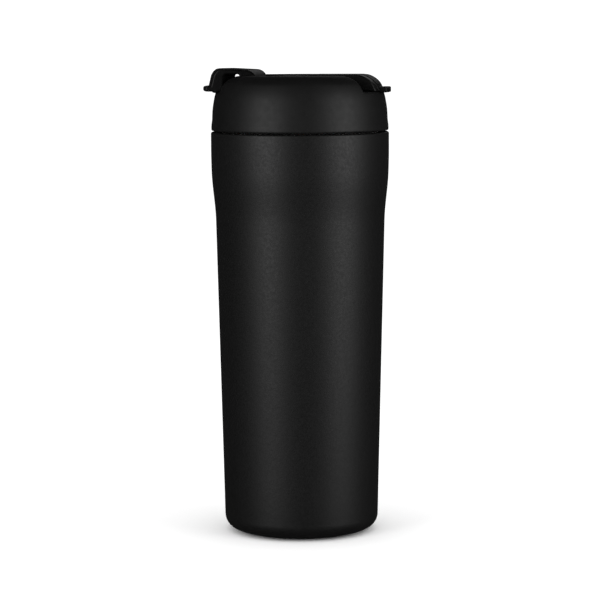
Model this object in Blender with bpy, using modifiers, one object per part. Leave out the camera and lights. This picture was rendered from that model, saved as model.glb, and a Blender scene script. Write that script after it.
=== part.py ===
"""Insulated travel mug: a double-walled vacuum body and a screw-in lid.

The lid has a channel across its dome. On the drinking side (+X) a flip lever closes the drink hole, and on
the other side (-X) a carry loop folds down over the channel. +Z is up, and the origin is on the mug's axis,
on the surface that it stands on. Lengths in this file are millimetres, and helpers turn them into metres.
"""

import math

import bmesh
import bpy
from mathutils import Matrix, Vector

MM = 0.001
STEPS = 48  # facets round the outer wall and the lid shell
INNER_STEPS = 36  # facets round the flask, the plug and what is inside them
SMALL_STEPS = 24  # facets round pins, tubes and seals
SMOOTH_BELOW = math.radians(35)
OUTSIDE = 60.0  # farther from the axis than any part of the mug

# Outer wall: a taper from the foot to the waist, then a swell to the widest band under the lid.
WALL = 0.9
BODY_R = 39.0
RIM_Z = 176.3
RIM_CORNER = 1.1
BAND_LOW_Z = 168.0
SWELL = (38.82, 159.0)
WAIST = (37.05, 137.5)
FOOT_R = 33.92
FOOT_CORNER = 6.2
STEEL_Z = 0.8
WALL_MOUTH_R = 35.6
WALL_FOOT_HOLE_R = 26.6

# Inner flask, and what lies in the vacuum between the walls.
FLASK_WALL = 0.8
NECK_R = 34.2
NECK_WALL = 1.1
NECK_LOW_Z = 158.0
FLASK_TOP = (32.3, 140.0)
FLASK_LOW = (29.3, 15.4)
FLASK_FLOOR_Z = 9.4
FLASK_CORNER = 6.0
FOIL_T = 0.4
FOIL_GAP = 0.5
FOIL_Z = (20.0, 135.0)
BASE_R = 29.0
BASE_Z = (2.1, 3.0)
PORT_R = 4.4
PORT_RISE = 1.4
SEAL_BEAD_R = 3.6
GETTER_R = 4.0
GETTER_Z = (3.3, 4.7)
GETTER_X = 15.0
PAD_R = 26.2
PAD_T = 1.7
PAD_GROOVE = (17.5, 19.5, 0.5)  # inner radius, outer radius, depth

# Thread: two starts of a round bead, on the neck and on the plug, half a pitch apart.
LEAD = 10.0
STARTS = 2
THREAD_TURN = 0.8
THREAD_POINTS = 25
BEAD = 0.95
NECK_BEAD_R = 34.05
NECK_BEAD_Z = 165.5
PLUG_BEAD_R = 32.7
PLUG_BEAD_Z = 163.0

# Lid: dome, channel and cavity.
SEAM_Z = 176.9
SKIRT_R = 38.8
SKIRT_CORNER = 0.9
DOME_TOP_Z = 200.95
DOME_FLAT_R = 29.0
SHELL_T = 2.2
SKIRT_BORE_R = 36.5
SKIRT_BORE_Z = 180.0
CHANNEL_HALF = 20.1
CHANNEL_Z = 194.0
LOOP_SPACE_HALF = 16.3  # the channel is narrower where the loop lies
LOOP_SPACE_X = -12.0
LIP_START_R = 35.4
LIP_END_R = 37.6
LIP_DROP = 1.2
ABOVE_FLOOR = 0.3  # what stands in the channel keeps this gap to its floor

# Lid: plug, gasket, tubes and insulation.
PLUG_R = 32.75
PLUG_BORE_R = 30.75
PLUG_LOW_Z = 160.0
FLANGE_R = 36.1
FLANGE_Z = (177.6, 179.6)
GASKET_R = (33.1, 36.0)
GASKET_Z = (176.6, 177.3)
COVER_R = 30.4
COVER_Z = (160.2, 162.0)
FOAM_Z = (162.4, 178.5)
TUBE_Z = (162.3, 194.0)
DRINK_X = 22.0
DRINK_R = 4.4
DUCT_R = 5.4
VENT_X = 9.0
VENT_R = 1.5
VENT_TUBE_R = 2.3
CLEAR = 0.4  # round tubes and pins in their holes

# Spout block and flip lever: both follow the dome, a little proud of it.
PROUD = 0.35
BLOCK_X = -8.0
BLOCK_HALF = 12.5
SLOT_HALF = 9.0
SLOT_FLOOR_Z = 196.3
SLOT_END_X = 32.2
HINGE_DECK_X = 6.8
HINGE_DECK_Z = 200.8
LEVER_HALF = 8.6
LEVER_START_X = 5.0
LEVER_T = 2.0
LEVER_AXIS = (4.0, 198.8)
LEVER_BARREL_R = 2.2
PIN_R = 1.0
LEVER_PIN_HALF = 12.2
TAB_R = 39.9
TAB_HALF = 8.2
TAB_Z = (193.5, 195.9)
TAB_START_X = 35.9
SEAL_TOP_Z = 199.0
SEAL_HEAD_R = 5.2
SEAL_HEAD_Z = 196.7
SEAL_NOSE_R = 3.9
SEAL_NOSE_Z = 195.2
BOSS_R = 2.0
BOSS_LOW_Z = 198.0
VENT_PAD_R = 2.4
CAP_X = (-7.7, 0.3)
CAP_Z = (196.6, 200.7)
CAP_BEVEL = 0.8

# Carry loop: a hinge bar, two arms and a curved end wall with a lip to lift it by.
LOOP_HALF = 15.6
LOOP_AXIS = (-20.5, 198.7)
LOOP_BAR_R = 3.8
LOOP_FACE_X = -16.7
LOOP_TOP_Z = 204.1
LOOP_TOP_X = -36.6  # the top falls from here towards the hinge
LOOP_FALL = 0.046
LOOP_CORNER = 4.6
LOOP_ARM_LOW_Z = 201.6
LOOP_INNER_R = 34.6
LOOP_BAR_BACK_X = -24.3
LOOP_LIP_R = 42.2
LOOP_LIP_Z = (194.1, 196.4)
LOOP_SHOULDER = (38.75, 201.0)
WINDOW_X = -25.0
WINDOW_R = 33.9
WINDOW_HALF = 11.2
WINDOW_CORNER = 2.5
LOOP_PIN_Y = (11.6, 20.8)

COATING = (0.011, 0.011, 0.012)
LID_BLACK = (0.012, 0.012, 0.012)
SEAL_BLACK = (0.020, 0.020, 0.021)
CLEAR_SILICONE = (0.52, 0.52, 0.50)
BARE_STEEL = (0.58, 0.57, 0.55)
PLUG_BLACK = (0.016, 0.016, 0.017)
CREAM_FOAM = (0.75, 0.73, 0.66)
COPPER = (0.72, 0.43, 0.30)


# Outlines. Each is a list of (radius, height) or (x, height) points.


def arc(centre, radius, start, end, count):
    """Points on an arc, from start to end in degrees."""
    angles = [math.radians(start + (end - start) * i / count) for i in range(count + 1)]
    return [(centre[0] + radius * math.cos(a), centre[1] + radius * math.sin(a)) for a in angles]


def bezier(start, lead_out, lead_in, end, count):
    """Points on a cubic curve, leaving out its first one."""
    points = []
    for i in range(1, count + 1):
        t = i / count
        weights = ((1 - t) ** 3, 3 * t * (1 - t) ** 2, 3 * t * t * (1 - t), t**3)
        curve = (start, lead_out, lead_in, end)
        points.append(tuple(sum(w * p[k] for w, p in zip(weights, curve)) for k in (0, 1)))
    return points


def slanted(start, start_slope, end, end_slope, count):
    """A cubic between two points, given how fast the radius changes with height at each."""
    third = (end[1] - start[1]) / 3
    lead_out = (start[0] + third * start_slope, start[1] + third)
    lead_in = (end[0] - third * end_slope, end[1] - third)
    return bezier(start, lead_out, lead_in, end, count)


def moved_out(points, distance):
    """The outline moved along its normals, where it runs from the top centre outwards and down."""
    moved = []
    for i, (r, z) in enumerate(points):
        before = points[max(i - 1, 0)]
        after = points[min(i + 1, len(points) - 1)]
        along = Vector((after[0] - before[0], after[1] - before[1])).normalized()
        moved.append((max(r - distance * along.y, 0.0), z + distance * along.x))
    return moved


def wall_outline(inset, detail):
    """The outer wall from its rim down to its foot, moved inwards by inset."""
    taper = (WAIST[0] - FOOT_R) / (WAIST[1] - STEEL_Z - FOOT_CORNER)
    rim = (BODY_R - RIM_CORNER, RIM_Z - RIM_CORNER)
    foot = (FOOT_R - FOOT_CORNER, STEEL_Z + FOOT_CORNER)
    band = (BODY_R - inset, BAND_LOW_Z)
    swell = (SWELL[0] - inset, SWELL[1])
    waist = (WAIST[0] - inset, WAIST[1])
    points = arc(rim, RIM_CORNER - inset, 90, 0, 2 * detail)
    points += [band]
    points += slanted(band, 0.0, swell, 0.03, detail)
    points += slanted(swell, 0.03, waist, taper, 1 + 2 * detail)
    points += arc(foot, FOOT_CORNER - inset, 0, -90, 1 + 2 * detail)
    return points


def dome_outline():
    """The lid's outside from the top centre down to the bottom corner of its skirt."""
    brow = (35.3, 197.0)
    cheek = (37.6, 190.2)
    flank = (38.28, 185.4)
    flare = (38.42, 182.0)
    skirt = (SKIRT_R, SEAM_Z + 1.7)
    corner_r = brow[0] - 0.52 * (DOME_TOP_Z - brow[1])
    lead_out = ((DOME_FLAT_R + corner_r) / 2, DOME_TOP_Z)
    lead_in = ((brow[0] + corner_r) / 2, (brow[1] + DOME_TOP_Z) / 2)
    points = [(0.0, DOME_TOP_Z), (DOME_FLAT_R, DOME_TOP_Z)]
    points += bezier(points[-1], lead_out, lead_in, brow, 4)
    points += slanted(brow, -0.52, cheek, -0.17, 4)
    points += slanted(cheek, -0.17, flank, -0.06, 2)
    points += slanted(flank, -0.06, flare, -0.03, 1)
    points += slanted(flare, -0.03, skirt, 0.0, 2)
    return points


def flask_outline():
    """The flask's bore from the floor's centre up to the mouth, then its outside back down to the axis."""
    floor = FLASK_FLOOR_Z
    low_r = FLASK_LOW[0]
    corner = (low_r - FLASK_CORNER, floor + FLASK_CORNER)
    bore = [(0.0, floor)] + arc(corner, FLASK_CORNER, -90, 0, 4)
    bore += [FLASK_TOP, (NECK_R, NECK_LOW_Z), (NECK_R, RIM_Z)]
    outside = [(NECK_R + NECK_WALL, RIM_Z), (NECK_R + NECK_WALL, NECK_LOW_Z)]
    outside += [(FLASK_TOP[0] + FLASK_WALL, FLASK_TOP[1])]
    outside += arc(corner, FLASK_CORNER + FLASK_WALL, 0, -90, 4)
    return bore + outside + [(0.0, floor - FLASK_WALL)]


# Shapes.


def collection(name):
    made = bpy.data.collections.new(name)
    bpy.context.scene.collection.children.link(made)
    return made


def add(name, mesh):
    thing = bpy.data.objects.new(name, mesh)
    bpy.context.scene.collection.objects.link(thing)
    return thing


def evaluated_mesh(thing):
    """A plain mesh of the object with its modifiers applied."""
    bpy.context.view_layer.update()
    graph = bpy.context.evaluated_depsgraph_get()
    return bpy.data.meshes.new_from_object(thing.evaluated_get(graph))


def bake(thing):
    """Gives the object its evaluated mesh, with the points that a cut left together made one."""
    mesh = evaluated_mesh(thing)
    thing.modifiers.clear()
    work = bmesh.new()
    work.from_mesh(mesh)
    bmesh.ops.remove_doubles(work, verts=work.verts, dist=0.002 * MM)
    work.to_mesh(mesh)
    work.free()
    thing.data = mesh
    return thing


def turned(name, outline, steps=STEPS):
    """A solid of revolution round Z. A ring's outline closes on itself, and a full solid's ends on the axis."""
    mesh = bpy.data.meshes.new(name)
    edges = [(i, i + 1) for i in range(len(outline) - 1)]
    if outline[0][0] > 0:
        edges.append((len(outline) - 1, 0))
    mesh.from_pydata([(r * MM, 0.0, z * MM) for r, z in outline], edges, [])
    thing = add(name, mesh)
    screw = thing.modifiers.new("Screw", "SCREW")
    screw.steps = steps
    screw.render_steps = steps
    screw.use_merge_vertices = True
    screw.merge_threshold = 0.00001
    return bake(thing)


def ring(name, radii, heights, steps=INNER_STEPS):
    inner, outer = radii
    low, high = heights
    return turned(name, [(outer, high), (outer, low), (inner, low), (inner, high)], steps)


def disc(name, radius, heights, steps=INNER_STEPS):
    low, high = heights
    return turned(name, [(0.0, high), (radius, high), (radius, low), (0.0, low)], steps)


def block(name, x, y, z):
    """A box between two values on each axis."""
    mesh = bpy.data.meshes.new(name)
    size = Matrix.Diagonal(((x[1] - x[0]) * MM, (y[1] - y[0]) * MM, (z[1] - z[0]) * MM, 1))
    centre = Matrix.Translation(Vector((sum(x), sum(y), sum(z))) * MM / 2)
    work = bmesh.new()
    bmesh.ops.create_cube(work, size=1.0, matrix=centre @ size)
    work.to_mesh(mesh)
    work.free()
    return add(name, mesh)


def rod(name, axis, y, radius, steps=SMALL_STEPS):
    """A round bar along Y, centred on an (x, height) axis."""
    mesh = bpy.data.meshes.new(name)
    place = Matrix.Translation(Vector((axis[0], sum(y) / 2, axis[1])) * MM)
    work = bmesh.new()
    bmesh.ops.create_cone(
        work,
        cap_ends=True,
        segments=steps,
        radius1=radius * MM,
        radius2=radius * MM,
        depth=(y[1] - y[0]) * MM,
        matrix=place @ Matrix.Rotation(math.pi / 2, 4, "X"),
    )
    work.to_mesh(mesh)
    work.free()
    return add(name, mesh)


def upright(thing, x):
    """Moves a turned piece off the mug's axis, to x."""
    thing.data.transform(Matrix.Translation((x * MM, 0.0, 0.0)))
    return thing


def curve_to_mesh(thing):
    """The curve as a mesh with its caps welded. The curve is removed."""
    name = thing.name
    thing.name = name + "_curve"
    mesh = evaluated_mesh(thing)
    mesh.transform(thing.matrix_world)
    work = bmesh.new()
    work.from_mesh(mesh)
    bmesh.ops.remove_doubles(work, verts=work.verts, dist=0.002 * MM)
    bmesh.ops.recalc_face_normals(work, faces=work.faces)
    work.to_mesh(mesh)
    work.free()
    bpy.data.objects.remove(thing)
    return add(name, mesh)


def plate(name, outline, half_width):
    """An (x, height) outline, as thick along Y as twice half_width."""
    curve = bpy.data.curves.new(name, "CURVE")
    curve.dimensions = "2D"
    curve.fill_mode = "BOTH"
    curve.extrude = half_width * MM
    spline = curve.splines.new("POLY")
    spline.points.add(len(outline) - 1)
    for point, (x, z) in zip(spline.points, outline):
        point.co = (x * MM, z * MM, 0.0, 1.0)
    spline.use_cyclic_u = True
    thing = add(name, curve)
    thing.rotation_euler = (math.pi / 2, 0.0, 0.0)
    return curve_to_mesh(thing)


def bead(name, radius, low, start_angle):
    """One start of the thread: a round bead on a right-handed helix, thinned towards its ends."""
    curve = bpy.data.curves.new(name, "CURVE")
    curve.dimensions = "3D"
    curve.bevel_depth = BEAD * MM
    curve.bevel_resolution = 2
    curve.use_fill_caps = True
    spline = curve.splines.new("POLY")
    spline.points.add(THREAD_POINTS - 1)
    for i, point in enumerate(spline.points):
        turn = THREAD_TURN * i / (THREAD_POINTS - 1)
        angle = start_angle + math.tau * turn
        x = radius * math.cos(angle)
        y = radius * math.sin(angle)
        point.co = (x * MM, y * MM, (low + LEAD * turn) * MM, 1.0)
        from_end = min(i, THREAD_POINTS - 1 - i)
        point.radius = min(1.0, 0.55 + 0.15 * from_end)
    return curve_to_mesh(add(name, curve))


def combine(thing, other, operation, solver="EXACT"):
    """Applies a Boolean to the first object and removes the second."""
    modifier = thing.modifiers.new(operation.title(), "BOOLEAN")
    modifier.operation = operation
    modifier.solver = solver
    modifier.object = other
    bake(thing)
    bpy.data.objects.remove(other)
    return thing


def cut(thing, *cutters):
    for cutter in cutters:
        combine(thing, cutter, "DIFFERENCE")
    return thing


def hollow(thing, inside):
    """Cuts a turned hollow out of a turned piece, where the exact solver loses the whole piece."""
    return combine(thing, inside, "DIFFERENCE", "MANIFOLD")


def join(thing, *others):
    for other in others:
        combine(thing, other, "UNION")
    return thing


def keep_inside(thing, limit):
    return combine(thing, limit, "INTERSECT")


def add_thread(thing, radius, low):
    for start in range(STARTS):
        join(thing, bead("thread", radius, low, math.tau * start / STARTS))
    return thing


# Pieces of the mug's body.


def make_outer_wall():
    outside = wall_outline(0.0, 2)
    inside = wall_outline(WALL, 1)
    top = (WALL_MOUTH_R, RIM_Z)
    top_inside = (WALL_MOUTH_R, RIM_Z - WALL)
    foot = (WALL_FOOT_HOLE_R, STEEL_Z)
    foot_inside = (WALL_FOOT_HOLE_R, STEEL_Z + WALL)
    return turned("outer_wall", [top] + outside + [foot, foot_inside] + inside[::-1] + [top_inside])


def make_inner_flask():
    flask = turned("inner_flask", flask_outline(), INNER_STEPS)
    return add_thread(flask, NECK_BEAD_R, NECK_BEAD_Z)


def make_heat_foil():
    """Foil wound on the flask inside the vacuum."""
    low, high = FOIL_Z
    slope = (FLASK_TOP[0] - FLASK_LOW[0]) / (FLASK_TOP[1] - FLASK_LOW[1])
    radii = [FLASK_LOW[0] + slope * (z - FLASK_LOW[1]) + FLASK_WALL + FOIL_GAP for z in (low, high)]
    outside = [(radii[1] + FOIL_T, high), (radii[0] + FOIL_T, low)]
    return turned("heat_foil", outside + [(radii[0], low), (radii[1], high)], INNER_STEPS)


def make_base_disc():
    """The disc that closes the wall's foot, raised in the middle round the vacuum port."""
    low, high = BASE_Z
    port_top = high + PORT_RISE
    upper = [(0.0, port_top), (PORT_R + 0.8, port_top), (PORT_R + 1.8, high), (BASE_R, high)]
    lower = [(BASE_R, low), (PORT_R + 0.8, low), (PORT_R, low + PORT_RISE), (0.0, low + PORT_RISE)]
    return turned("base_disc", upper + lower, INNER_STEPS)


def make_port_seal():
    low = PAD_T + 0.3
    return disc("port_seal", SEAL_BEAD_R, (low, BASE_Z[0] + PORT_RISE - 0.3), SMALL_STEPS)


def make_getter():
    """The capsule that takes up stray gas in the vacuum."""
    return upright(disc("getter_capsule", GETTER_R, GETTER_Z, SMALL_STEPS), GETTER_X)


def make_base_pad():
    """The rubber disc that the mug stands on, with a ring groove in its underside."""
    inner, outer, depth = PAD_GROOVE
    edge = [(PAD_R, PAD_T), (PAD_R, 0.5), (PAD_R - 0.5, 0.0)]
    groove = [(outer, 0.0), (outer, depth), (inner, depth), (inner, 0.0)]
    return turned("base_pad", [(0.0, PAD_T)] + edge + groove + [(0.0, 0.0)], INNER_STEPS)


# Pieces of the lid.


def make_channel_space(half_width, floor_z):
    """The open channel: everything above a floor that rounds down to a lip at the dome's edge."""
    lip = []
    for i in range(7):
        part = math.sin(math.pi / 2 * i / 6)
        drop = LIP_DROP * (1 - math.sqrt(1 - part * part))
        lip.append((LIP_START_R + (LIP_END_R - LIP_START_R) * part, floor_z - drop))
    above = [(0.0, DOME_TOP_Z + 10), (OUTSIDE, DOME_TOP_Z + 10), (OUTSIDE, floor_z - LIP_DROP)]
    space = turned("channel", above + lip[::-1] + [(0.0, floor_z)])
    sides = block("sides", (-OUTSIDE, OUTSIDE), (-half_width, half_width), (150, 250))
    return keep_inside(space, sides)


def make_lid_shell():
    foot = (SKIRT_R - SKIRT_CORNER, SEAM_Z + SKIRT_CORNER)
    outside = dome_outline() + arc(foot, SKIRT_CORNER, 0, -90, 3)
    shell = turned("lid_shell", outside + [(0.0, SEAM_Z)])

    lining = [p for p in moved_out(dome_outline(), -SHELL_T)[::2] if p[1] > SKIRT_BORE_Z]
    bore = [(SKIRT_BORE_R, SKIRT_BORE_Z - 2), (SKIRT_BORE_R, SEAM_Z - 10), (0.0, SEAM_Z - 10)]
    cavity = turned("cavity", lining + bore)
    roof_half = CHANNEL_HALF + SHELL_T
    roof_z = CHANNEL_Z - SHELL_T
    roof = block("roof", (-OUTSIDE, OUTSIDE), (-roof_half, roof_half), (roof_z, 250))
    cut(cavity, roof)

    channel = make_channel_space(CHANNEL_HALF, CHANNEL_Z)
    for side in (-1, 1):
        beside_loop = sorted((side * LOOP_SPACE_HALF, side * OUTSIDE))
        cut(channel, block("beside_loop", (-2 * OUTSIDE, LOOP_SPACE_X), beside_loop, (150, 250)))
    cut(shell, channel)
    hollow(shell, cavity)
    through = (roof_z - 2, CHANNEL_Z + 2)
    cut(shell, upright(disc("drink_hole", DUCT_R + CLEAR, through, SMALL_STEPS), DRINK_X))
    cut(shell, upright(disc("vent_hole", VENT_TUBE_R + CLEAR, through, SMALL_STEPS), VENT_X))
    for side in (-1, 1):
        reach = sorted((side * (LOOP_SPACE_HALF - 1), side * (roof_half + 1)))
        cut(shell, rod("pin_hole", LOOP_AXIS, reach, PIN_R + CLEAR))
    return shell


def make_proud_dome(name, depth):
    """The space under a surface that runs just proud of the dome, depth below it."""
    outline = moved_out(dome_outline(), PROUD - depth)
    return turned(name, outline + [(outline[-1][0], 170.0), (0.0, 170.0)])


def make_spout_block():
    """The raised floor of the channel's drinking side, with a cheek on each side of the lever."""
    piece = make_proud_dome("spout_block", 0.0)
    keep_inside(piece, make_channel_space(BLOCK_HALF, CHANNEL_Z + ABOVE_FLOOR))
    cut(piece, block("back", (-OUTSIDE, BLOCK_X), (-OUTSIDE, OUTSIDE), (150, 250)))
    slot = (-SLOT_HALF, SLOT_HALF)
    cut(piece, block("slot", (BLOCK_X - 5, OUTSIDE), slot, (SLOT_FLOOR_Z, 250)))
    cut(piece, block("slot_end", (SLOT_END_X, OUTSIDE), slot, (150, SLOT_FLOOR_Z + 1)))
    deck = (-BLOCK_HALF - 1, BLOCK_HALF + 1)
    cut(piece, block("hinge_deck", (BLOCK_X - 5, HINGE_DECK_X), deck, (HINGE_DECK_Z, 250)))
    through = (CHANNEL_Z - 2, SLOT_FLOOR_Z + 2)
    cut(piece, upright(disc("drink_hole", DRINK_R, through, SMALL_STEPS), DRINK_X))
    cut(piece, upright(disc("vent_hole", VENT_R, through, SMALL_STEPS), VENT_X))
    cut(piece, rod("pin_hole", LEVER_AXIS, (-BLOCK_HALF - 1, BLOCK_HALF + 1), PIN_R + CLEAR))
    return piece


def make_hinge_cap():
    """The cover that fills the slot behind the lever's hinge and stops the lever when it is open."""
    cap = block("hinge_cap", CAP_X, (-LEVER_HALF, LEVER_HALF), CAP_Z)
    bevel = cap.modifiers.new("Bevel", "BEVEL")
    bevel.width = CAP_BEVEL * MM
    bevel.segments = 2
    return bake(cap)


def make_flip_lever():
    piece = make_proud_dome("flip_lever", 0.0)
    half = (-LEVER_HALF, LEVER_HALF)
    keep_inside(piece, block("limits", (LEVER_START_X, OUTSIDE), half, (150, 250)))
    hollow(piece, make_proud_dome("inside", LEVER_T))
    tab = disc("tab", TAB_R, TAB_Z, STEPS)
    keep_inside(tab, block("limits", (TAB_START_X, OUTSIDE), (-TAB_HALF, TAB_HALF), (150, 250)))
    join(piece, tab)
    keep_inside(piece, make_channel_space(LEVER_HALF + 1, CHANNEL_Z + ABOVE_FLOOR))
    join(piece, rod("barrel", LEVER_AXIS, (-LEVER_HALF + 0.2, LEVER_HALF - 0.2), LEVER_BARREL_R))
    boss = disc("boss", BOSS_R, (BOSS_LOW_Z, DOME_TOP_Z - 1), SMALL_STEPS)
    join(piece, upright(boss, DRINK_X))
    return cut(piece, rod("pin_hole", LEVER_AXIS, (-BLOCK_HALF, BLOCK_HALF), PIN_R + CLEAR))


def make_spout_seal():
    """The silicone stopper under the lever: a head over the drink hole and a nose in it."""
    socket_r = BOSS_R + CLEAR
    socket_z = BOSS_LOW_Z - 0.3
    socket = [(0.0, socket_z), (socket_r, socket_z), (socket_r, SEAL_TOP_Z)]
    head = [(SEAL_HEAD_R - 0.5, SEAL_TOP_Z), (SEAL_HEAD_R, SEAL_HEAD_Z)]
    nose = [(SEAL_NOSE_R, SEAL_HEAD_Z), (SEAL_NOSE_R, SEAL_NOSE_Z + 0.4)]
    tip = [(SEAL_NOSE_R - 0.7, SEAL_NOSE_Z), (0.0, SEAL_NOSE_Z)]
    return upright(turned("spout_seal", socket + head + nose + tip, SMALL_STEPS), DRINK_X)


def make_vent_pad():
    return upright(disc("vent_pad", VENT_PAD_R, (SEAL_HEAD_Z, SEAL_TOP_Z), SMALL_STEPS), VENT_X)


def make_carry_loop():
    lip_low, lip_high = LOOP_LIP_Z
    outside = [(0.0, LOOP_TOP_Z), (35.2, LOOP_TOP_Z)]
    outside += bezier(outside[-1], (36.8, LOOP_TOP_Z), (38.1, 202.6), LOOP_SHOULDER, 4)
    outside += [(39.6, lip_high + 0.3), (39.8, lip_high), (LOOP_LIP_R, lip_high)]
    outside += [(LOOP_LIP_R, lip_low), (38.4, lip_low), (38.1, lip_low - 0.6), (0.0, lip_low - 0.6)]
    piece = turned("carry_loop", outside)
    keep_inside(piece, make_channel_space(LOOP_HALF + 1, CHANNEL_Z + ABOVE_FLOOR))

    bar = arc(LOOP_AXIS, LOOP_BAR_R, 180, 360, 10)
    corner_x = LOOP_FACE_X - LOOP_CORNER
    corner = (corner_x, LOOP_TOP_Z - LOOP_FALL * (corner_x - LOOP_TOP_X) - LOOP_CORNER)
    end = arc(corner, LOOP_CORNER, 0, 90, 6)
    beyond = [(LOOP_TOP_X - 0.5, LOOP_TOP_Z + 0.05), (-OUTSIDE, LOOP_TOP_Z + 1), (-OUTSIDE, 190)]
    below = [(LOOP_BAR_BACK_X - 0.6, 190), (LOOP_BAR_BACK_X - 0.6, LOOP_AXIS[1] + 0.2)]
    keep_inside(piece, plate("side_view", bar + end + beyond + below, LOOP_HALF))

    roof_corner = (LOOP_INNER_R - 1.5, LOOP_ARM_LOW_Z - 1.5)
    lining = [(0.0, LOOP_ARM_LOW_Z)] + arc(roof_corner, 1.5, 90, 0, 3)
    inside = turned("inside", lining + [(LOOP_INNER_R, 180.0), (0.0, 180.0)])
    keep_inside(inside, block("limits", (-OUTSIDE, LOOP_BAR_BACK_X), (-50, 50), (150, 250)))
    hollow(piece, inside)

    window = block("window", (-OUTSIDE, WINDOW_X), (-WINDOW_HALF, WINDOW_HALF), (198, 210))
    rounding = window.modifiers.new("Bevel", "BEVEL")
    rounding.width = WINDOW_CORNER * MM
    rounding.segments = 3
    bake(window)
    cut(piece, keep_inside(window, disc("window_end", WINDOW_R, (150, 206), STEPS)))

    for side in (-1, 1):
        reach = sorted((side * (LOOP_PIN_Y[0] - 0.5), side * (LOOP_HALF + 1)))
        cut(piece, rod("pin_hole", LOOP_AXIS, reach, PIN_R + CLEAR))
    return piece


def make_loop_pin(name, side):
    return rod(name, LOOP_AXIS, sorted(side * y for y in LOOP_PIN_Y), PIN_R)


def make_lid_plug():
    """The threaded tube that goes into the neck, under a flange that the lid shell holds."""
    low, high = FLANGE_Z
    outside = [(FLANGE_R, high), (FLANGE_R, low), (PLUG_R, low), (PLUG_R, PLUG_LOW_Z + 0.6)]
    inside = [(PLUG_R - 0.6, PLUG_LOW_Z), (PLUG_BORE_R, PLUG_LOW_Z), (PLUG_BORE_R, high)]
    plug = turned("lid_plug", outside + inside, INNER_STEPS)
    return add_thread(plug, PLUG_BEAD_R, PLUG_BEAD_Z)


def make_pierced_disc(name, radius, heights, drink_r, vent_r):
    """A disc inside the plug, with the holes that the drink and the air pass through."""
    piece = disc(name, radius, heights)
    through = (heights[0] - 2, heights[1] + 2)
    cut(piece, upright(disc("drink_hole", drink_r, through, SMALL_STEPS), DRINK_X))
    return cut(piece, upright(disc("vent_hole", vent_r, through, SMALL_STEPS), VENT_X))


def make_tube(name, radii, x):
    return upright(ring(name, radii, TUBE_Z, SMALL_STEPS), x)


# Materials, and how the pieces hang together.


def material(name, colour, roughness, metallic=0.0):
    made = bpy.data.materials.new(name)
    made.use_nodes = True
    shader = made.node_tree.nodes["Principled BSDF"]
    shader.inputs["Base Color"].default_value = (*colour, 1.0)
    shader.inputs["Roughness"].default_value = roughness
    shader.inputs["Metallic"].default_value = metallic
    return made


def pivot(name, place, parent=None):
    """An empty on a joint's axis."""
    empty = bpy.data.objects.new(name, None)
    empty.empty_display_size = 0.01
    bpy.context.scene.collection.objects.link(empty)
    empty.parent = parent
    held_at = parent.matrix_world.translation if parent else Vector()
    empty.location = Vector(place) * MM - held_at
    bpy.context.view_layer.update()
    return empty


def finish(thing, home, parent, made_of):
    """Puts the piece in its collection, on its joint's pivot, with its material and smooth shading."""
    place = parent.matrix_world.translation
    thing.data.transform(Matrix.Translation(-place))
    thing.parent = parent
    thing.data.name = thing.name
    thing.data.shade_smooth()
    thing.data.set_sharp_from_angle(angle=SMOOTH_BELOW)
    thing.data.materials.clear()
    thing.data.materials.append(made_of)
    bpy.context.scene.collection.objects.unlink(thing)
    home.objects.link(thing)


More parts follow.
